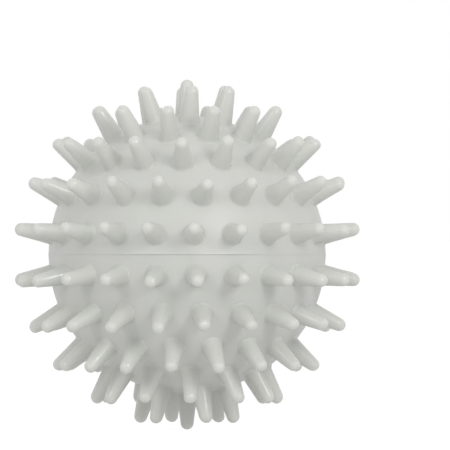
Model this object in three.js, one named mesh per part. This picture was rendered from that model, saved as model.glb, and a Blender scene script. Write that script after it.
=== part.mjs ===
// Spiked dryer ball: two hollow half shells of soft vinyl, each moulded in one with its spikes,
// lapped at the equator and held by a ring of cement inside the lap.
// Millimetres, +Z up through the two polar spikes, origin at the centre of the ball.

import * as THREE from "three";
import { ConvexHull } from "three/addons/math/ConvexHull.js";
import { mergeGeometries, mergeVertices, toCreasedNormals } from "three/addons/utils/BufferGeometryUtils.js";

// The ball
const BODY_DIAMETER = 55.4; // the smooth ball under the spikes
const WALL = 2.4; // wall of each half shell

// The spikes
const SPIKE_HEIGHT = 7.3; // from the ball's surface to the end of the dome
const SPIKE_ROOT_DIAMETER = 4.1; // where the straight taper would meet the ball
const SPIKE_TIP_DIAMETER = 2.65; // across the dome where the taper runs into it
const ROOT_FILLET = 0.45; // how far the root flares out, and how high the flare is

// The rings of spikes, with one turn for each ring from the equator to the pole, in degrees.
// A turn is counted from the front of the ball (-Y) towards +X.
const SEAM_MARGIN = 1.6; // plain band between the seam and the roots of the first ring
const UPPER_RING_TURNS = [3.0, 7.0, 18.8, 16.5, 3.5];
const LOWER_RING_TURNS = [3.7, 6.8, 14.2, 2.9, 21.1];

// The lapped joint at the equator
const SPIGOT_HEIGHT = 2.0; // how far the lower rim goes up inside the upper one
const SPIGOT_LEAD = 0.3; // chamfer that lets the spigot into its socket
const LAP_CLEARANCE = 0.2; // radial play between the spigot and its socket
const CEMENT_HEIGHT = 0.5; // ring of cement that collects above the spigot
const CEMENT_GAP = 0.15; // between the cement and the walls of its channel
const SEAM_EDGE = 0.1; // broken edge of each rim, which shows as the fine line round the ball

// Facets
const BODY_SIDES = 36;
const INNER_STEPS = 6; // from rim to pole inside the shell
const SPIKE_SIDES = 8;
const DOME_STEPS = 3;
const CREASE = 0.6; // radians between facets that meet in a visible edge

const bodyRadius = BODY_DIAMETER / 2;
const innerRadius = bodyRadius - WALL;
const lip = (WALL - LAP_CLEARANCE) / 2;
const socketRadius = bodyRadius - lip;
const spigotRadius = socketRadius - LAP_CLEARANCE;
const socketDepth = SPIGOT_HEIGHT + CEMENT_HEIGHT + 2 * CEMENT_GAP;

const rootRadius = SPIKE_ROOT_DIAMETER / 2;
const tipRadius = SPIKE_TIP_DIAMETER / 2;
const flareRadius = rootRadius + ROOT_FILLET;

const { degToRad, lerp } = THREE.MathUtils;
const firstLatitude = Math.asin((SEAM_MARGIN + flareRadius) / bodyRadius);

// Height above the seam of the circle where the broken edge runs into the ball's surface.
const rim = { radius: Math.sqrt(bodyRadius ** 2 - SEAM_EDGE ** 2), height: SEAM_EDGE };

// A profile of [radius, height] pairs turned about +Z.
function revolve(profile) {
  const points = profile.map(([radius, height]) => new THREE.Vector2(radius, height));
  return new THREE.LatheGeometry(points, BODY_SIDES).rotateX(Math.PI / 2);
}

// Where the spikes of one half stand, as unit vectors from the centre of the ball: one on the pole,
// and rings evenly spaced from there to the seam, each with as many spikes as keep that spacing.
function spikeDirections(turns, side) {
  const spacing = (Math.PI / 2 - firstLatitude) / turns.length;
  const directions = [new THREE.Vector3(0, 0, side)];
  turns.forEach((turn, ring) => {
    const latitude = firstLatitude + ring * spacing;
    const count = Math.round((2 * Math.PI * Math.cos(latitude)) / spacing);
    for (let i = 0; i < count; i++) {
      const longitude = degToRad(turn + (360 * i) / count);
      const across = Math.cos(latitude);
      directions.push(
        new THREE.Vector3(
          across * Math.sin(longitude),
          -across * Math.cos(longitude),
          side * Math.sin(latitude),
        ),
      );
    }
  });
  return directions;
}

// The rings of points of one spike, from its root on the ball's surface to the last ring of its dome,
// and the point of the dome.
function spikePoints(direction) {
  const across = new THREE.Vector3(-direction.y, direction.x, 0);
  if (across.length() < 1e-9) across.set(1, 0, 0);
  across.normalize();
  const along = new THREE.Vector3().crossVectors(direction, across);
  const ringAt = (radius, distance) =>
    Array.from({ length: SPIKE_SIDES }, (_, i) => {
      const angle = (2 * Math.PI * (i + 0.5)) / SPIKE_SIDES;
      return direction
        .clone()
        .multiplyScalar(distance)
        .addScaledVector(across, radius * Math.cos(angle))
        .addScaledVector(along, radius * Math.sin(angle));
    });

  const domeBase = SPIKE_HEIGHT - tipRadius;
  const taperAt = (height) => lerp(rootRadius, tipRadius, height / domeBase);
  const rings = [
    ringAt(flareRadius, Math.sqrt(bodyRadius ** 2 - flareRadius ** 2)),
    ringAt(taperAt(ROOT_FILLET), bodyRadius + ROOT_FILLET),
  ];
  for (let i = 0; i < DOME_STEPS; i++) {
    const angle = (i / DOME_STEPS) * (Math.PI / 2);
    rings.push(ringAt(tipRadius * Math.cos(angle), bodyRadius + domeBase + tipRadius * Math.sin(angle)));
  }
  return { rings, point: direction.clone().multiplyScalar(bodyRadius + SPIKE_HEIGHT) };
}

function fromTriangles(triangles) {
  return new THREE.BufferGeometry().setFromPoints(triangles.flat());
}

// The sides of one spike, from its root ring to its point.
function spikeWall({ rings, point }) {
  const triangles = [];
  for (let i = 0; i < SPIKE_SIDES; i++) {
    const next = (i + 1) % SPIKE_SIDES;
    for (let level = 0; level + 1 < rings.length; level++) {
      const [lower, upper] = [rings[level], rings[level + 1]];
      triangles.push([lower[i], lower[next], upper[next]], [lower[i], upper[next], upper[i]]);
    }
    const last = rings.at(-1);
    triangles.push([last[i], last[next], point]);
  }
  return fromTriangles(triangles);
}

// The ball's skin between the spikes. The root rings, the spikes' centres and the rim all lie on one
// sphere, so their convex hull joins each point to its neighbours. The triangles at a spike's centre
// are its footprint and those across the open rim are the hull's floor: both are left out.
function skinBetween(directions, spikes, side) {
  const centres = new Set(directions.map((direction) => direction.clone().multiplyScalar(bodyRadius)));
  const rimPoints = new Set(
    Array.from({ length: BODY_SIDES }, (_, i) => {
      const angle = (2 * Math.PI * i) / BODY_SIDES;
      return new THREE.Vector3(rim.radius * Math.sin(angle), -rim.radius * Math.cos(angle), side * rim.height);
    }),
  );
  const roots = spikes.flatMap(({ rings }) => rings[0]);
  const hull = new ConvexHull().setFromPoints([...centres, ...rimPoints, ...roots]);
  const triangles = hull.faces
    .map(({ edge }) => [edge.prev.head().point, edge.head().point, edge.next.head().point])
    .filter((corners) => !corners.some((corner) => centres.has(corner)))
    .filter((corners) => !corners.every((corner) => rimPoints.has(corner)));
  return fromTriangles(triangles);
}

// One half: the skin, its spikes, and the inside of the shell with its rim.
function halfShell(turns, side, insideProfile) {
  const directions = spikeDirections(turns, side);
  const spikes = directions.map(spikePoints);
  const surfaces = [skinBetween(directions, spikes, side), ...spikes.map(spikeWall)];
  const inside = revolve(insideProfile).toNonIndexed();
  inside.deleteAttribute("normal");
  inside.deleteAttribute("uv");
  return mergeVertices(mergeGeometries([...surfaces, inside]));
}

// The inside of a half shell from the height z to the pole.
function hollow(z, side) {
  return Array.from({ length: INNER_STEPS + 1 }, (_, i) => {
    const latitude = lerp(Math.asin(z / innerRadius), Math.PI / 2, i / INNER_STEPS);
    const radius = i === INNER_STEPS ? 0 : innerRadius * Math.cos(latitude);
    return [radius, side * innerRadius * Math.sin(latitude)];
  });
}

// The upper half: its rim is a socket that opens downwards.
function upperShell() {
  const inside = [
    ...hollow(socketDepth, 1).reverse(),
    [socketRadius, socketDepth],
    [socketRadius, 0],
    [bodyRadius - SEAM_EDGE, 0],
    [rim.radius, rim.height],
  ];
  return halfShell(UPPER_RING_TURNS, 1, inside);
}

// The lower half: its rim carries the spigot, with a chamfered lead on the outside.
function lowerShell() {
  const inside = [
    [rim.radius, -rim.height],
    [bodyRadius - SEAM_EDGE, 0],
    [spigotRadius, 0],
    [spigotRadius, SPIGOT_HEIGHT - SPIGOT_LEAD],
    [spigotRadius - SPIGOT_LEAD, SPIGOT_HEIGHT],
    [innerRadius, SPIGOT_HEIGHT],
    ...hollow(0, -1),
  ];
  return halfShell(LOWER_RING_TURNS, -1, inside);
}

// The cement: a bead with rounded corners in the channel between the spigot and the end of the socket.
function cementRing() {
  const outer = socketRadius - CEMENT_GAP;
  const inner = innerRadius + CEMENT_GAP;
  const bottom = SPIGOT_HEIGHT + CEMENT_GAP;
  const top = bottom + CEMENT_HEIGHT;
  const corner = CEMENT_HEIGHT / 4;
  return revolve([
    [inner + corner, bottom],
    [outer - corner, bottom],
    [outer, bottom + corner],
    [outer, top - corner],
    [outer - corner, top],
    [inner + corner, top],
    [inner, top - corner],
    [inner, bottom + corner],
    [inner + corner, bottom],
  ]);
}

function namedPiece(name, geometry, color, roughness) {
  const material = new THREE.MeshStandardMaterial({ color, roughness, metalness: 0 });
  const piece = new THREE.Mesh(toCreasedNormals(geometry, CREASE), material);
  piece.name = name;
  return piece;
}

const dryerBall = new THREE.Group();
dryerBall.name = "dryer_ball";
dryerBall.add(
  namedPiece("upper_shell", upperShell(), 0xcdcfc9, 0.42),
  namedPiece("lower_shell", lowerShell(), 0xc7c9c4, 0.42),
  namedPiece("seam_cement", cementRing(), 0xe2e0d6, 0.3),
);

export default dryerBall;
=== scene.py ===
# %% [markdown]
# # A spiked dryer ball
#
# A dryer ball tumbles among the laundry and keeps it apart. This one is a hollow ball of soft vinyl
# with rings of short tapered spikes. It is moulded in two halves, which meet at the equator.
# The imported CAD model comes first, because every piece made here has to lie exactly where it lies.
# Lengths are in metres, +Z runs up through the two polar spikes, and -Y faces the camera.

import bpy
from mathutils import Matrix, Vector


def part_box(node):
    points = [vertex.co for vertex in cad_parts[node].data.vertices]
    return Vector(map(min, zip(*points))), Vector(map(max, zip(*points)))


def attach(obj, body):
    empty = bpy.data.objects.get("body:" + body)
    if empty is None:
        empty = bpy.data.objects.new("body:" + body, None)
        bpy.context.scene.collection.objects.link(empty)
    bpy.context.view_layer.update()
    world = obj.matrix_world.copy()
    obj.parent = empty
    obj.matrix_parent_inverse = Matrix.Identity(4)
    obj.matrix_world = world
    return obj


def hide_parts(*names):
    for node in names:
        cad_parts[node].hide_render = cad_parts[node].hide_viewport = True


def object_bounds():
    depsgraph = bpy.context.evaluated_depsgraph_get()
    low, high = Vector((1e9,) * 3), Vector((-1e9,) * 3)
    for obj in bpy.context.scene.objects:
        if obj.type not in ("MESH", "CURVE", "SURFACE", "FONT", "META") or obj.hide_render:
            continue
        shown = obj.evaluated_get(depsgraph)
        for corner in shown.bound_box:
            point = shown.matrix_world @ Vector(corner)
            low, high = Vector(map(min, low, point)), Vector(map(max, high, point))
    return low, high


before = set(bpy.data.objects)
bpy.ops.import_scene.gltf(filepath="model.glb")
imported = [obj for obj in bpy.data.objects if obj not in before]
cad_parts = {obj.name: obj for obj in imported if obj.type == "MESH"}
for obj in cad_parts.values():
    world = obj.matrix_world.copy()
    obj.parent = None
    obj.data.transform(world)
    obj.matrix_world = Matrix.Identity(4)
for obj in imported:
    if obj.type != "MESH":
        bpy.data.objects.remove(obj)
cad_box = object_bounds()


def in_mm(box):
    return [[round(1000 * value, 2) for value in corner] for corner in box]


print("packed pieces:", sorted(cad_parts))
print("packed box, mm:", in_mm(cad_box))

# %% [markdown]
# ## Sizes
#
# They are the sizes that the CAD model is made from. Each is named once, and every other size
# follows from them, so that a change here moves all that depends on it. The four lists go from the
# ring at the seam to the one at the pole. A turn says where a ring starts, in degrees from the front.
# A seed, which only this script needs, fixes the small random leans of a ring's spikes. Other seeds
# would give as good a ball, but with these the spikes in view lean much as in the photograph.

# %% Name the sizes
import math

import bmesh
import bpy
import numpy as np
from mathutils import Vector
from mathutils.geometry import delaunay_2d_cdt

MM = 0.001
BALL_RADIUS = 27.7 * MM
WALL = 2.4 * MM
SPIKE_HEIGHT = 7.3 * MM
ROOT_RADIUS = 2.05 * MM
DOME_RADIUS = 1.325 * MM
ROOT_FLARE = 0.45 * MM
PLAIN_BAND = 1.6 * MM
UPPER_TURNS = [3.0, 7.0, 18.8, 16.5, 3.5]
LOWER_TURNS = [3.7, 6.8, 14.2, 2.9, 21.1]
UPPER_SEEDS = [95182, 84792, 29867, 23470, 64901]
LOWER_SEEDS = [55014, 94950, 81713, 82212, 1421]

flare_radius = ROOT_RADIUS + ROOT_FLARE
print("over two spikes, mm:", round(2 * (BALL_RADIUS + SPIKE_HEIGHT) / MM, 2))

# %% [markdown]
# ## The camera
#
# The seam shows as a straight line and both polar spikes are in view, so the camera stands level
# with the ball. The spikes that point at it look no nearer than the rest, so it stands well back
# and looks through a very long lens. A parallel camera would do too, but a long lens keeps the
# little depth that a photograph has. The ball lies to the left of the picture's middle and a little
# low, so the camera aims past it, to the right and above. It is set first, so that each piece can be
# looked at as it comes.

# %% Set up the camera
CAMERA_DISTANCE = 3.0
AIM_RIGHT = 7.58 * MM
AIM_ABOVE = 5.9 * MM
PICTURE_WIDTH = 450
MM_PER_PIXEL = 0.2

camera_data = bpy.data.cameras.new("camera")
camera_data.sensor_width = 36
camera_data.lens = camera_data.sensor_width * CAMERA_DISTANCE / (PICTURE_WIDTH * MM_PER_PIXEL * MM)
camera = bpy.data.objects.new("camera", camera_data)
camera.location = (AIM_RIGHT, -CAMERA_DISTANCE, AIM_ABOVE)
camera.rotation_euler = (math.radians(90), 0, 0)
bpy.context.scene.collection.objects.link(camera)
bpy.context.scene.camera = camera
print("lens, mm:", round(camera_data.lens))

# %% [markdown]
# ## One spike
#
# Each spike is a short cone that ends in a dome. Its root runs out in a small hollow fillet, because
# a sharp corner there would tear as the half is pulled from its mould. The cutter that turned the
# fillet in the mould left a tiny step at its outer edge, which is the fine line round each root in
# the photograph. The spike is a turned shape, so one side of its outline is drawn and turned round.
# A curve object or the Screw modifier could do that too. Written out as rings of points it stays
# exact, and the mesh has no more faces than it needs, which matters in a shape that is repeated 156
# times.

# %% Draw the outline of a spike
SPIKE_SIDES = 16
FILLET_STEPS = 4
DOME_STEPS = 4
STEP_RADIUS = 2.32 * MM
ROOT_STEP = 0.03 * MM
STEP_SLANT = 0.4
FILLET_LIFT = 0.1


def on_skin(radius):
    """A point of the ball's skin at a distance from the spike's axis."""
    return (radius, math.sqrt(BALL_RADIUS**2 - radius**2) - BALL_RADIUS)


def curve_point(start, corner, end, t):
    """A point of the curve that leaves start towards the corner and reaches end from there."""
    shares = ((1 - t) ** 2, 2 * t * (1 - t), t**2)
    return tuple(shares[0] * a + shares[1] * b + shares[2] * c for a, b, c in zip(start, corner, end))


def spike_outline():
    """Pairs of radius and height above the ball, from the edge of the flare to the dome's last ring."""
    dome_base = SPIKE_HEIGHT - DOME_RADIUS
    slope = (ROOT_RADIUS - DOME_RADIUS) / dome_base
    foot = on_skin(STEP_RADIUS)
    start = (STEP_RADIUS - STEP_SLANT * ROOT_STEP, foot[1] + ROOT_STEP)
    corner = (ROOT_RADIUS, start[1] + FILLET_LIFT * ROOT_FLARE)
    end = (ROOT_RADIUS - slope * ROOT_FLARE, ROOT_FLARE)
    outline = [on_skin(flare_radius), foot]
    outline += [curve_point(start, corner, end, step / (FILLET_STEPS - 1)) for step in range(FILLET_STEPS)]
    for step in range(DOME_STEPS):
        angle = step / DOME_STEPS * math.pi / 2
        outline.append((DOME_RADIUS * math.cos(angle), dome_base + DOME_RADIUS * math.sin(angle)))
    return outline


print("spike outline, mm:", [(round(r / MM, 2), round(h / MM, 2)) for r, h in spike_outline()])

# %% Turn the outline into a mesh


def linked_object(name, mesh):
    made = bpy.data.objects.new(name, mesh)
    bpy.context.scene.collection.objects.link(made)
    return made


def turned_spike():
    """One spike along +Z, with its origin where its axis meets the ball. Its root ring comes first."""
    outline = spike_outline()
    points = []
    for radius, height in outline:
        for side in range(SPIKE_SIDES):
            angle = 2 * math.pi * side / SPIKE_SIDES
            points.append((radius * math.cos(angle), radius * math.sin(angle), height))
    points.append((0, 0, SPIKE_HEIGHT))
    faces = []
    for side in range(SPIKE_SIDES):
        after = (side + 1) % SPIKE_SIDES
        for ring in range(len(outline) - 1):
            low, high = ring * SPIKE_SIDES, (ring + 1) * SPIKE_SIDES
            faces.append((low + side, low + after, high + after, high + side))
        last = (len(outline) - 1) * SPIKE_SIDES
        faces.append((last + side, last + after, len(points) - 1))
    mesh = bpy.data.meshes.new("one_spike")
    mesh.from_pydata(points, [], faces)
    return linked_object("one_spike", mesh)


one_spike = turned_spike()
print("faces of one spike:", len(one_spike.data.polygons))

# %% [markdown]
# ## Wiring nodes from a script
#
# The spikes stand in rings, and rings follow a rule, so Geometry Nodes lay them out. A few short
# helpers keep the trees readable. One adds a node and plugs values or other nodes into its sockets,
# three more add the nodes that are used most and hand back their result, one starts a new tree, and
# one sets the inputs of a modifier by their names.

# %% Helpers for node trees


def add_node(tree, kind, inputs=None, **settings):
    """Adds a node, sets its settings, and plugs each input with a value or with another socket."""
    node = tree.nodes.new(kind)
    node.location = (180 * (len(tree.nodes) % 12), -220 * (len(tree.nodes) // 12))
    for name, value in settings.items():
        setattr(node, name, value)
    for key, value in (inputs or {}).items():
        for one in value if isinstance(value, list) else [value]:
            if isinstance(one, bpy.types.NodeSocket):
                tree.links.new(one, node.inputs[key])
            else:
                node.inputs[key].default_value = one
    return node


def calculate(tree, operation, *values):
    """A Math node, as the socket that holds its result."""
    return add_node(tree, "ShaderNodeMath", dict(enumerate(values)), operation=operation).outputs[0]


def vector_result(tree, operation, inputs, output="Vector"):
    """A Vector Math node, as the socket that holds its result."""
    return add_node(tree, "ShaderNodeVectorMath", inputs, operation=operation).outputs[output]


def graded(tree, value, start, end, low, high):
    """A Map Range node: while the value goes from start to end, the result goes from low to high."""
    inputs = {"Value": value, "From Min": start, "From Max": end, "To Min": low, "To Max": high}
    return add_node(tree, "ShaderNodeMapRange", inputs).outputs["Result"]


def new_tree(name, kind, inputs, outputs):
    """A node tree with named sockets, and the two nodes that hold them."""
    tree = bpy.data.node_groups.new(name, kind)
    for socket_name, socket_kind in inputs.items():
        tree.interface.new_socket(socket_name, in_out="INPUT", socket_type=socket_kind)
    for socket_name, socket_kind in outputs.items():
        tree.interface.new_socket(socket_name, in_out="OUTPUT", socket_type=socket_kind)
    return tree, tree.nodes.new("NodeGroupInput").outputs, tree.nodes.new("NodeGroupOutput").inputs


def set_inputs(modifier, values):
    """Sets a modifier's inputs. The tree shows names, but a modifier knows them by identifier."""
    for item in modifier.node_group.interface.items_tree:
        if item.item_type == "SOCKET" and item.in_out == "INPUT" and item.name in values:
            modifier[item.identifier] = values[item.name]


# %% [markdown]
# ## A ring of places
#
# A ring lies at one latitude. The number of spikes on it is its length divided by the spacing of
# the rings, so the spikes stand equally far apart along a ring and between rings. Instances on the
# vertices of a sphere would crowd at the poles, and a scatter would lose the mould's neat rings.
# Each place also gets a small random direction along the skin, to which its spike leans. It is kept
# as an attribute, because the spikes are only bent once they stand there.

# %% Give each place a direction to lean to


def outward_direction(tree):
    """The position of each point, and the direction from the ball's centre to it."""
    here = add_node(tree, "GeometryNodeInputPosition").outputs[0]
    return here, vector_result(tree, "NORMALIZE", {"Vector": here})


def with_random_leans(tree, points, seed):
    _, outwards = outward_direction(tree)
    chance = add_node(
        tree,
        "FunctionNodeRandomValue",
        {"Min": (-1, -1, -1), "Max": (1, 1, 1), "Seed": seed},
        data_type="FLOAT_VECTOR",
    ).outputs[0]
    sideways = vector_result(tree, "CROSS_PRODUCT", {0: chance, 1: outwards})
    return add_node(
        tree,
        "GeometryNodeStoreNamedAttribute",
        {"Geometry": points, "Name": "sideways", "Value": sideways},
        data_type="FLOAT_VECTOR",
        domain="POINT",
    ).outputs[0]


# %% Build the tree for one ring


def ring_tree():
    tree, given, result = new_tree(
        "ring of places",
        "GeometryNodeTree",
        {
            "Latitude": "NodeSocketFloat",
            "Spacing": "NodeSocketFloat",
            "Turn": "NodeSocketFloat",
            "Seed": "NodeSocketInt",
            "Side": "NodeSocketFloat",
            "Ball Radius": "NodeSocketFloat",
        },
        {"Places": "NodeSocketGeometry"},
    )
    across = calculate(tree, "COSINE", given["Latitude"])
    length = calculate(tree, "MULTIPLY", across, 2 * math.pi)
    exact = calculate(tree, "DIVIDE", length, given["Spacing"])
    count = add_node(tree, "FunctionNodeFloatToInt", {"Float": exact}, rounding_mode="ROUND").outputs[0]
    number = add_node(tree, "GeometryNodeInputIndex").outputs[0]
    part = calculate(tree, "DIVIDE", number, count)
    angle = calculate(tree, "MULTIPLY_ADD", part, 2 * math.pi, given["Turn"])
    x = calculate(tree, "MULTIPLY", across, calculate(tree, "SINE", angle))
    y = calculate(tree, "MULTIPLY", across, calculate(tree, "COSINE", angle))
    z = calculate(tree, "MULTIPLY", given["Side"], calculate(tree, "SINE", given["Latitude"]))
    front = calculate(tree, "MULTIPLY", y, -1)
    unit_place = add_node(tree, "ShaderNodeCombineXYZ", {"X": x, "Y": front, "Z": z}).outputs[0]
    place = vector_result(tree, "SCALE", {"Vector": unit_place, "Scale": given["Ball Radius"]})
    points = add_node(tree, "GeometryNodePoints", {"Count": count, "Position": place}).outputs[0]
    leaning_points = with_random_leans(tree, points, given["Seed"])
    tree.links.new(leaning_points, result["Places"])
    return tree


ring_of_places = ring_tree()
print("nodes for one ring:", len(ring_of_places.nodes))

# %% [markdown]
# ## All the spikes of one half
#
# Five rings and the pole give the places. One spike is set on each, turned to point away from the
# centre. Soft spikes never come out of the mould quite straight, so each leans a little to one side.
# The lean grows with the square of the height, as in anything that bends from its root, and so the
# roots stay on the ball. Each ring has a fixed seed, so the leans are the same in each run.

# %% Put the rings and the pole together
turn_names = [f"Turn {ring + 1}" for ring in range(len(UPPER_TURNS))]
seed_names = [f"Seed {ring + 1}" for ring in range(len(UPPER_SEEDS))]


def places_of_spikes(tree, given):
    """The places of a half's spikes: its rings, spaced evenly from the seam to the pole, and the pole."""
    span = calculate(tree, "SUBTRACT", math.pi / 2, given["First Latitude"])
    spacing = calculate(tree, "DIVIDE", span, len(turn_names))
    rings = []
    for number, (turn, seed) in enumerate(zip(turn_names, seed_names)):
        ring = add_node(tree, "GeometryNodeGroup", node_tree=ring_of_places)
        latitude = calculate(tree, "MULTIPLY_ADD", spacing, number, given["First Latitude"])
        values = (latitude, spacing, given[turn], given[seed], given["Side"], given["Ball Radius"])
        for value, socket in zip(values, ring.inputs):
            tree.links.new(value, socket)
        rings.append(ring.outputs[0])
    pole_height = calculate(tree, "MULTIPLY", given["Side"], given["Ball Radius"])
    pole = add_node(tree, "ShaderNodeCombineXYZ", {"Z": pole_height}).outputs[0]
    rings.append(add_node(tree, "GeometryNodePoints", {"Count": 1, "Position": pole}).outputs[0])
    return add_node(tree, "GeometryNodeJoinGeometry", {"Geometry": rings}).outputs[0]


print("rings of a half:", len(turn_names))

# %% Lean the spikes


def leaning(tree, given, spikes, here):
    """Moves each point along its spike's lean, by the square of its height above the ball."""
    reach = vector_result(tree, "LENGTH", {"Vector": here}, "Value")
    above = calculate(tree, "SUBTRACT", reach, given["Ball Radius"])
    share = calculate(tree, "MAXIMUM", calculate(tree, "DIVIDE", above, given["Spike Height"]), 0.0)
    amount = calculate(tree, "MULTIPLY", calculate(tree, "MULTIPLY", share, share), given["Lean"])
    sideways = add_node(
        tree, "GeometryNodeInputNamedAttribute", {"Name": "sideways"}, data_type="FLOAT_VECTOR"
    ).outputs[0]
    offset = vector_result(tree, "SCALE", {"Vector": sideways, "Scale": amount})
    moved = add_node(tree, "GeometryNodeSetPosition", {"Geometry": spikes, "Offset": offset}).outputs[0]
    return add_node(tree, "GeometryNodeRemoveAttribute", {"Geometry": moved, "Name": "sideways"}).outputs[0]


# %% Build the tree for the spikes


def spikes_tree():
    tree, given, result = new_tree(
        "spikes of one half",
        "GeometryNodeTree",
        {
            "Geometry": "NodeSocketGeometry",
            "Spike": "NodeSocketObject",
            "Side": "NodeSocketFloat",
            "Ball Radius": "NodeSocketFloat",
            "Spike Height": "NodeSocketFloat",
            "First Latitude": "NodeSocketFloat",
            **{name: "NodeSocketFloat" for name in turn_names},
            **{name: "NodeSocketInt" for name in seed_names},
            "Lean": "NodeSocketFloat",
            "Material": "NodeSocketMaterial",
        },
        {"Geometry": "NodeSocketGeometry"},
    )
    places = places_of_spikes(tree, given)
    here, outwards = outward_direction(tree)
    spike = add_node(tree, "GeometryNodeObjectInfo", {"Object": given["Spike"]}).outputs["Geometry"]
    turned = add_node(tree, "FunctionNodeAlignRotationToVector", {"Vector": outwards}, axis="Z").outputs[0]
    stood = add_node(
        tree, "GeometryNodeInstanceOnPoints", {"Points": places, "Instance": spike, "Rotation": turned}
    ).outputs[0]
    real = add_node(tree, "GeometryNodeRealizeInstances", {"Geometry": stood}).outputs[0]
    leant = leaning(tree, given, real, here)
    finished = add_node(tree, "GeometryNodeSetMaterial", {"Geometry": leant, "Material": given["Material"]})
    tree.links.new(finished.outputs[0], result["Geometry"])
    return tree


spikes_of_one_half = spikes_tree()
print("nodes for the spikes:", len(spikes_of_one_half.nodes))

# %% [markdown]
# ## A shader group for moulded surfaces
#
# Vinyl from a mould is never one flat colour. Its tone drifts a little where the wall is thicker,
# and its skin has a fine grain. Both the vinyl and the cement have these, each at its own scale, so
# one group gives the masks and each material decides what to do with them. All patterns read Object
# coordinates, which are real metres here, so they lie the same way on the parts as they are made.

# %% Build the group of masks


def moulded_masks():
    tree, given, result = new_tree(
        "moulded masks",
        "ShaderNodeTree",
        {"Vector": "NodeSocketVector", "Cloud Scale": "NodeSocketFloat", "Grain Scale": "NodeSocketFloat"},
        {"Cloud": "NodeSocketFloat", "Grain": "NodeSocketFloat"},
    )
    cloud = add_node(
        tree,
        "ShaderNodeTexNoise",
        {"Vector": given["Vector"], "Scale": given["Cloud Scale"], "Detail": 3.0},
    )
    grain = add_node(
        tree,
        "ShaderNodeTexNoise",
        {"Vector": given["Vector"], "Scale": given["Grain Scale"], "Detail": 2.0, "Roughness": 0.6},
    )
    tree.links.new(cloud.outputs[0], result["Cloud"])
    tree.links.new(grain.outputs[0], result["Grain"])
    return tree


masks_group = moulded_masks()
print("mask outputs:", [item.name for item in masks_group.interface.items_tree if item.in_out == "OUTPUT"])

# %% [markdown]
# ## Soft vinyl
#
# The ball is pale, slightly warm grey with a satin skin that shows no bright spot. The spikes are
# glossier, with fine glints along them, because the holes of the mould that shape them come out
# smoother than its open face. So a clear coat comes in with the height above the ball. Light goes a
# little way into vinyl of this kind, which softens the shadows, and subsurface scattering gives that.
# The thin domes of the spikes are also painted lighter than the wall by a second mask of the height:
# a painted glow, in place of the light that comes through thin vinyl. A mask that is painted by hand
# would do too, but the distance from the ball's centre tells the height of any point, on the leaning
# spikes as well.

# %% Start a material
MASK_LOW, MASK_HIGH = 0.3, 0.7


def new_material(name, cloud_scale, grain_scale):
    """A new material, with its surface shader, its coordinates and its masks."""
    material = bpy.data.materials.new(name)
    material.use_nodes = True
    tree = material.node_tree
    place = add_node(tree, "ShaderNodeTexCoord").outputs["Object"]
    scales = {"Vector": place, "Cloud Scale": cloud_scale, "Grain Scale": grain_scale}
    masks = add_node(tree, "ShaderNodeGroup", scales, node_tree=masks_group).outputs
    return material, tree.nodes["Principled BSDF"], place, masks


def two_tones(tree, mask, low, high, dark, light):
    """A colour that goes from dark to light while the mask goes from low to high."""
    ramp = add_node(tree, "ShaderNodeValToRGB", {"Fac": mask})
    for element, position, colour in zip(ramp.color_ramp.elements, (low, high), (dark, light)):
        element.position = position
        element.color = (*colour, 1)
    return ramp.outputs["Color"]


def grain_bump(tree, surface, masks, strength, depth):
    inputs = {"Strength": strength, "Distance": depth, "Height": masks["Grain"]}
    tree.links.new(add_node(tree, "ShaderNodeBump", inputs).outputs["Normal"], surface.inputs["Normal"])


# %% Make the vinyl
# The paler tone painted on the domes as a painted glow, and how much of it the tips get.
PAINTED_GLOW_TONE = (0.74, 0.74, 0.70)
PAINTED_GLOW_SHARE = 0.3
SKIN_COAT = 0.04
SPIKE_COAT = 0.45


def up_the_spike(share):
    """Distance from the ball's centre at a share of the spikes' height."""
    return BALL_RADIUS + share * SPIKE_HEIGHT


def tone_with_painted_glow(tree, cloud, reach):
    tone = two_tones(tree, cloud, MASK_LOW, MASK_HIGH, (0.600, 0.610, 0.575), (0.640, 0.645, 0.612))
    # Painted glow: the domes are painted lighter with their height, in place of light shining through thin
    # vinyl.
    dome = graded(tree, reach, up_the_spike(0.3), up_the_spike(1.0), 0.0, PAINTED_GLOW_SHARE)
    # This node has sockets for four kinds of value. Those for colours are 6 and 7, and 2 on its way out.
    inputs = {0: dome, 6: tone, 7: (*PAINTED_GLOW_TONE, 1)}
    return add_node(tree, "ShaderNodeMix", inputs, data_type="RGBA").outputs[2]


def soft_vinyl():
    material, surface, place, masks = new_material("soft vinyl", 70.0, 2600.0)
    tree = material.node_tree
    reach = vector_result(tree, "LENGTH", {"Vector": place}, "Value")
    roughness = graded(tree, masks["Cloud"], MASK_LOW, MASK_HIGH, 0.38, 0.5)
    gloss = graded(tree, reach, up_the_spike(0.05), up_the_spike(0.3), SKIN_COAT, SPIKE_COAT)
    tree.links.new(tone_with_painted_glow(tree, masks["Cloud"], reach), surface.inputs["Base Color"])
    tree.links.new(roughness, surface.inputs["Roughness"])
    tree.links.new(gloss, surface.inputs["Coat Weight"])
    grain_bump(tree, surface, masks, strength=0.25, depth=0.03 * MM)
    surface.inputs["Coat Roughness"].default_value = 0.07
    surface.inputs["IOR"].default_value = 1.5
    surface.inputs["Subsurface Weight"].default_value = 0.2
    surface.inputs["Subsurface Radius"].default_value = (1.0, 0.95, 0.8)
    surface.inputs["Subsurface Scale"].default_value = 1.4 * MM
    return material


vinyl = soft_vinyl()
print("made", vinyl.name, "with", len(vinyl.node_tree.nodes), "nodes")

# %% [markdown]
# ## Set out the spikes of each half
#
# The tree runs as a modifier on an empty mesh. Its result is read back as a plain mesh at once,
# because the export drops instances, and because the skin of the ball is fitted to the roots next.

# %% Bake the spikes of both halves
first_latitude = math.asin((PLAIN_BAND + flare_radius) / BALL_RADIUS)
LEAN = 0.45 * MM


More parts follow.
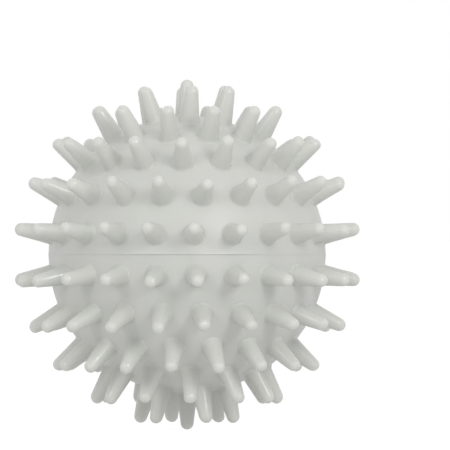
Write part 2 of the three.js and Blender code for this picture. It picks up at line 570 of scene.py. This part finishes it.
def baked_spikes(name, side, turns, seeds):
    carrier = linked_object(name, bpy.data.meshes.new(name))
    modifier = carrier.modifiers.new("spikes", "NODES")
    modifier.node_group = spikes_of_one_half
    values = {
        "Spike": one_spike,
        "Side": float(side),
        "Ball Radius": BALL_RADIUS,
        "Spike Height": SPIKE_HEIGHT,
        "First Latitude": first_latitude,
        "Lean": LEAN,
        "Material": vinyl,
    }
    values.update(zip(turn_names, map(math.radians, turns)))
    values.update(zip(seed_names, seeds))
    set_inputs(modifier, values)
    shown = carrier.evaluated_get(bpy.context.evaluated_depsgraph_get())
    mesh = bpy.data.meshes.new_from_object(shown)
    bpy.data.objects.remove(carrier)
    return mesh


upper_spikes = baked_spikes("upper_spikes", 1, UPPER_TURNS, UPPER_SEEDS)
lower_spikes = baked_spikes("lower_spikes", -1, LOWER_TURNS, LOWER_SEEDS)
bpy.data.objects.remove(one_spike)
points_per_spike = SPIKE_SIDES * len(spike_outline()) + 1
print("spikes:", [len(mesh.vertices) // points_per_spike for mesh in (upper_spikes, lower_spikes)])

# %% [markdown]
# ## The skin between the spikes
#
# The ball and its spikes are one moulded piece with no line between them. A boolean union would
# leave a hard edge round each root, and remeshing would blur the domes. So the skin is made to fit:
# loose points are spread evenly over the ball, those too near a root or the rim are dropped, and a
# Delaunay triangulation joins the rest to the roots' own points. It works on a flat sheet, and the
# stereographic projection, which turns circles into circles, gives the sheet and the way back.

# %% Spread points and join them into a skin
SKIN_GRAIN = 1.05 * MM
CELL_SHARE = 0.87
ROOT_GAP = 0.62 * SKIN_GRAIN
RIM_GAP = 0.55 * SKIN_GRAIN


def even_points():
    """Unit vectors spread evenly over the upper half, along a spiral that turns by the golden angle."""
    area = 2 * math.pi * BALL_RADIUS**2
    count = int(area / (SKIN_GRAIN**2 * CELL_SHARE))
    number = np.arange(count)
    height = (number + 0.5) / count
    turn = number * math.pi * (3 - math.sqrt(5))
    across = np.sqrt(1 - height**2)
    return np.column_stack([across * np.cos(turn), across * np.sin(turn), height])


def skin_between(roots, rim, side):
    """Points and triangles of the skin. Roots are rings of points, rim is the ring at the seam."""
    fixed = np.concatenate([*roots, rim]) / BALL_RADIUS
    loose = even_points() * (1, 1, side)
    axes = np.array([ring.mean(axis=0) for ring in roots])
    axes /= np.linalg.norm(axes, axis=1)[:, None]
    nearest_root = (loose @ axes.T).max(axis=1)
    clear_of_roots = nearest_root < math.cos((flare_radius + ROOT_GAP) / BALL_RADIUS)
    clear_of_rim = abs(loose[:, 2]) > abs(rim[0, 2]) / BALL_RADIUS + RIM_GAP / BALL_RADIUS
    points = np.concatenate([fixed, loose[clear_of_roots & clear_of_rim]])
    sheet = [Vector(flat) for flat in points[:, :2] / (1 + side * points[:, 2])[:, None]]
    _, _, triangles, meant, _, _ = delaunay_2d_cdt(sheet, [], [], 0, 1e-9)
    # Each root is numbered, and every other point has a number of its own below zero. A triangle whose
    # corners all have one number fills a root, so it is left out.
    root_numbers = np.arange(len(roots) * SPIKE_SIDES) // SPIKE_SIDES
    ring_of = np.concatenate([root_numbers, -1 - np.arange(len(points))])
    faces = []
    for triangle in triangles:
        corners = [meant[corner][0] for corner in triangle]
        if len({int(ring_of[corner]) for corner in corners}) > 1:
            faces.append(corners if side > 0 else corners[::-1])
    return points * BALL_RADIUS, faces


print("loose points for one half, before any is dropped:", len(even_points()))

# %% [markdown]
# ## The rim and the inside
#
# Where the halves meet, both rims swell out by about a tenth of a millimetre, with a fine groove
# between them. The upper side of this low ridge catches the light, its lower side and the groove
# stay darker, and so a light line lies over a dark one. They fade where cement was squeezed out and
# wiped off flush. Behind the ridge a spigot on the lower half goes up inside the upper one. All of
# this is turned, so it is drawn as an outline too, and only the ridge and the groove vary on their
# way round.

# %% Name the sizes of the rims
SPIGOT_HEIGHT = 2.0 * MM
SPIGOT_LEAD = 0.3 * MM
LAP_CLEARANCE = 0.2 * MM
SOCKET_DEPTH = 2.8 * MM
RIM_SIDES = 180
HOLLOW_STEPS = 14
RIDGE = 0.12 * MM
GROOVE = 0.06 * MM
LEAST_GROOVE = 0.005 * MM
SEAM_MEAN = 0.45
SEAM_LEAST = 0.03

hollow_radius = BALL_RADIUS - WALL
lip = (WALL - LAP_CLEARANCE) / 2
socket_radius = BALL_RADIUS - lip
spigot_radius = socket_radius - LAP_CLEARANCE


def hollow_outline(start_height, side):
    """The inside of the shell from a height above the seam to the pole."""
    outline = []
    first = math.asin(start_height / hollow_radius)
    for step in range(HOLLOW_STEPS):
        angle = first + (math.pi / 2 - first) * step / HOLLOW_STEPS
        outline.append((hollow_radius * math.cos(angle), side * hollow_radius * math.sin(angle), 0.0))
    return outline


def seam_share(angle):
    """How much of the seam stands out at an angle: about 1 where it is plain, and near 0 where it fades."""
    swell = SEAM_MEAN + 0.5 * math.cos(3 * angle)
    swell += 0.15 * math.cos(10 * angle + 3.0) + 0.05 * math.sin(19 * angle)
    return max(swell, SEAM_LEAST)


def on_ball(height):
    return (math.sqrt(BALL_RADIUS**2 - height**2), height, 0.0)


most_seam = max(seam_share(math.radians(angle)) for angle in range(360))
print("ridge where it is plainest, mm:", round(RIDGE * most_seam / MM, 3))

# %% Draw and turn the outlines


def turned_inside(outline, pole_height):
    """Points and faces of an outline of radius, height and relief, from the rim to the inner pole."""
    points = []
    for radius, height, relief in outline:
        for side in range(RIM_SIDES):
            angle = 2 * math.pi * side / RIM_SIDES
            out = radius + relief * seam_share(angle)
            points.append((out * math.sin(angle), -out * math.cos(angle), height))
    points.append((0, 0, pole_height))
    faces = []
    for side in range(RIM_SIDES):
        after = (side + 1) % RIM_SIDES
        for ring in range(len(outline) - 1):
            low, high = ring * RIM_SIDES, (ring + 1) * RIM_SIDES
            faces.append((low + side, high + side, high + after, low + after))
        last = (len(outline) - 1) * RIM_SIDES
        faces.append((last + side, len(points) - 1, last + after))
    return np.array(points), faces


upper_outline = [
    on_ball(0.80 * MM),
    (BALL_RADIUS, 0.55 * MM, 0.15 * RIDGE),
    (BALL_RADIUS, 0.33 * MM, 0.45 * RIDGE),
    (BALL_RADIUS, 0.17 * MM, 0.85 * RIDGE),
    (BALL_RADIUS, 0.09 * MM, RIDGE),
    (BALL_RADIUS, 0.03 * MM, 0.80 * RIDGE),
    (BALL_RADIUS - LEAST_GROOVE, 0, -GROOVE),
    (socket_radius, 0, 0),
    (socket_radius, SOCKET_DEPTH, 0),
    *hollow_outline(SOCKET_DEPTH, 1),
]
lower_outline = [
    on_ball(-1.00 * MM),
    (BALL_RADIUS, -0.70 * MM, 0.10 * RIDGE),
    (BALL_RADIUS, -0.42 * MM, 0.35 * RIDGE),
    (BALL_RADIUS, -0.20 * MM, 0.70 * RIDGE),
    (BALL_RADIUS, -0.07 * MM, 0.60 * RIDGE),
    (BALL_RADIUS - 2 * LEAST_GROOVE, 0, -GROOVE),
    (spigot_radius, 0, 0),
    (spigot_radius, SPIGOT_HEIGHT - SPIGOT_LEAD, 0),
    (spigot_radius - SPIGOT_LEAD, SPIGOT_HEIGHT, 0),
    (hollow_radius, SPIGOT_HEIGHT, 0),
    *hollow_outline(0, -1),
]
print("steps of the outlines:", len(upper_outline), len(lower_outline))

# %% [markdown]
# ## Two half shells
#
# Spikes, skin and inside share the points where they meet, so merging the doubles makes each half
# one closed surface. The count of open edges proves it. Edges sharper than 50 degrees, which are
# the corners of the rims, stay crisp, and everything else is shaded smooth.

# %% Join each half and check that it is closed
MERGE_DISTANCE = 0.002 * MM
CRISP_ANGLE = math.radians(50)


def half_shell(name, side, spikes, outline):
    spike_points = np.array([vertex.co for vertex in spikes.vertices])
    blocks = spike_points.reshape(-1, points_per_spike, 3)
    roots = [block[:SPIKE_SIDES] for block in blocks]
    inside_points, inside_faces = turned_inside(outline, side * hollow_radius)
    skin_points, skin_faces = skin_between(roots, inside_points[:RIM_SIDES], side)
    if side < 0:
        inside_faces = [face[::-1] for face in inside_faces]

    mesh = bpy.data.meshes.new(name)
    shell = bmesh.new()
    shell.from_mesh(spikes)
    for points, faces in ((skin_points, skin_faces), (inside_points, inside_faces)):
        made = [shell.verts.new(point) for point in points]
        for face in faces:
            shell.faces.new([made[corner] for corner in face])
    bmesh.ops.remove_doubles(shell, verts=shell.verts, dist=MERGE_DISTANCE)
    loose = [vertex for vertex in shell.verts if not vertex.link_faces]
    bmesh.ops.delete(shell, geom=loose, context="VERTS")
    open_edges = sum(not edge.is_manifold or not edge.is_contiguous for edge in shell.edges)
    volume = shell.calc_volume(signed=True)
    for face in shell.faces:
        face.smooth = True
    shell.to_mesh(mesh)
    shell.free()
    mesh.set_sharp_from_angle(angle=CRISP_ANGLE)
    mesh.materials.clear()
    mesh.materials.append(vinyl)
    mesh.calc_loop_triangles()
    print(name, "triangles:", len(mesh.loop_triangles), "open edges:", open_edges)
    print(name, "volume, cm3:", round(volume * 1e6, 2))
    return linked_object(name, mesh)


upper_half = half_shell("upper_half", 1, upper_spikes, upper_outline)
lower_half = half_shell("lower_half", -1, lower_spikes, lower_outline)

# %% [markdown]
# ## Cement
#
# A ring of solvent cement sits in the channel behind the lap. It is hidden in the closed ball, so
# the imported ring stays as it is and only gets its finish: clear, glossy, a little yellow, with the
# uneven skin of something that flowed before it set.

# %% Finish the cement ring


def cured_cement():
    material, surface, _, masks = new_material("cured cement", 160.0, 1200.0)
    tree = material.node_tree
    tone = two_tones(tree, masks["Cloud"], 0.0, 1.0, (0.62, 0.58, 0.46), (0.78, 0.76, 0.66))
    roughness = graded(tree, masks["Grain"], MASK_LOW, MASK_HIGH, 0.12, 0.3)
    tree.links.new(tone, surface.inputs["Base Color"])
    tree.links.new(roughness, surface.inputs["Roughness"])
    grain_bump(tree, surface, masks, strength=0.4, depth=0.05 * MM)
    return material


cement_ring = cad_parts["seam_cement"]
cement_ring.data.materials.clear()
cement_ring.data.materials.append(cured_cement())
low_corner, high_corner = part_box("seam_cement")
print("cement ring, mm across:", round((high_corner.x - low_corner.x) / MM, 1))

# %% [markdown]
# ## Tie the pieces to the imported model
#
# Each half stands for its CAD solid, which is hidden, and rides on the one body of this part.

# %% Ride on the body and hide the CAD solids
for half, node in ((upper_half, "upper_shell"), (lower_half, "lower_shell")):
    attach(half, "root")
    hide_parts(node)

# %% [markdown]
# ## Floor
#
# The lowest spikes are nearly as bright as the rest, so the ball stood on a light table: a white
# sheet that glows and sends soft light up from below. It stays a little short of a pure glow, so
# that a trace of the ball's shadow shows on it. Such a photograph is exposed until its table is pure
# white. The camera therefore sees the sheet brighter than the ball does, and more of its glow.

# %% Lay the floor
TABLE_GLOW = 0.71
TABLE_GLOW_SHARE = 0.7
SEEN_GLOW = 1.08
SEEN_GLOW_SHARE = 0.85
FLOOR_HALF = 30.0


def light_table():
    material = bpy.data.materials.new("light table")
    material.use_nodes = True
    tree = material.node_tree
    surface = tree.nodes["Principled BSDF"]
    surface.inputs["Base Color"].default_value = (0.9, 0.9, 0.9, 1)
    surface.inputs["Roughness"].default_value = 0.9
    surface.inputs["Specular IOR Level"].default_value = 0.1
    seen = add_node(tree, "ShaderNodeLightPath").outputs["Is Camera Ray"]
    strength = calculate(tree, "MULTIPLY_ADD", seen, SEEN_GLOW - TABLE_GLOW, TABLE_GLOW)
    glow = add_node(tree, "ShaderNodeEmission", {"Color": (1, 1, 1, 1), "Strength": strength})
    share = calculate(tree, "MULTIPLY_ADD", seen, SEEN_GLOW_SHARE - TABLE_GLOW_SHARE, TABLE_GLOW_SHARE)
    mixed = add_node(tree, "ShaderNodeMixShader", {0: share, 1: surface.outputs[0], 2: glow.outputs[0]})
    tree.links.new(mixed.outputs[0], tree.nodes["Material Output"].inputs["Surface"])
    return material


floor_height = cad_box[0].z
signs = ((-1, -1), (1, -1), (1, 1), (-1, 1))
floor_mesh = bpy.data.meshes.new("floor")
corners = [(x * FLOOR_HALF, y * FLOOR_HALF, floor_height) for x, y in signs]
floor_mesh.from_pydata(corners, [], [(0, 1, 2, 3)])
floor_mesh.materials.append(light_table())
floor = linked_object("floor", floor_mesh)
print("floor height, mm:", round(floor_height / MM, 2))

# %% [markdown]
# ## Light
#
# The ball stands in front of a bright white backdrop, whose light comes round the edges and puts a
# pale band on the rim of the ball. The room in front is dimmer, so the world is made of two tones.
# Two softboxes stand in front, the stronger one to the right. The soft dark patches under the spikes
# lie where the shadows of two such lamps meet, which tells where they stood and how large they were:
# from larger ones the patches blur away. Each lamp also shows as a thin glint on the few spikes that
# lie square to it. A small lamp, high up between the softboxes, gives the glint near the bottom.

# %% Set the lamps
LAMP_DISTANCE = 1.0


def lamp(name, turn, rise, size, power):
    """A soft lamp that faces the ball. Turn goes from the camera's side to the right, rise goes up."""
    turn, rise = math.radians(turn), math.radians(rise)
    place = Vector((math.sin(turn) * math.cos(rise), -math.cos(turn) * math.cos(rise), math.sin(rise)))
    data = bpy.data.lights.new(name, "AREA")
    data.shape = "RECTANGLE"
    data.size, data.size_y = size
    data.energy = power
    light = bpy.data.objects.new(name, data)
    light.location = place * LAMP_DISTANCE
    light.rotation_euler = (-place).to_track_quat("-Z", "Y").to_euler()
    bpy.context.scene.collection.objects.link(light)


lamp("right softbox", 31, 21, (0.22, 0.35), 2.4)
lamp("left softbox", -32, 20, (0.22, 0.35), 1.4)
lamp("glint lamp", 8, 44, (0.06, 0.14), 0.38)

# %% Surround the ball with white
ROOM_TONE = 0.65
BACKDROP_TONE = 0.9
BACKDROP_EDGE = 0.15


def white_room():
    """A world that is dimmer in front of the ball than behind it, and pure white where it is seen."""
    world = bpy.data.worlds.new("white room")
    world.use_nodes = True
    tree = world.node_tree
    direction = add_node(tree, "ShaderNodeTexCoord").outputs["Generated"]
    backwards = add_node(tree, "ShaderNodeSeparateXYZ", {"Vector": direction}).outputs["Y"]
    room = tree.nodes["Background"]
    room.inputs["Color"].default_value = (1, 1, 1, 1)
    tone = graded(tree, backwards, -BACKDROP_EDGE, BACKDROP_EDGE, ROOM_TONE, BACKDROP_TONE)
    tree.links.new(tone, room.inputs["Strength"])
    backdrop = add_node(tree, "ShaderNodeBackground", {"Color": (1, 1, 1, 1), "Strength": 1.0})
    seen = add_node(tree, "ShaderNodeLightPath").outputs["Is Camera Ray"]
    either = add_node(tree, "ShaderNodeMixShader", {0: seen, 1: room.outputs[0], 2: backdrop.outputs[0]})
    tree.links.new(either.outputs[0], tree.nodes["World Output"].inputs["Surface"])
    return world


bpy.context.scene.world = white_room()
bpy.context.scene.view_settings.view_transform = "Standard"
print("tones of the surroundings:", ROOM_TONE, BACKDROP_TONE)
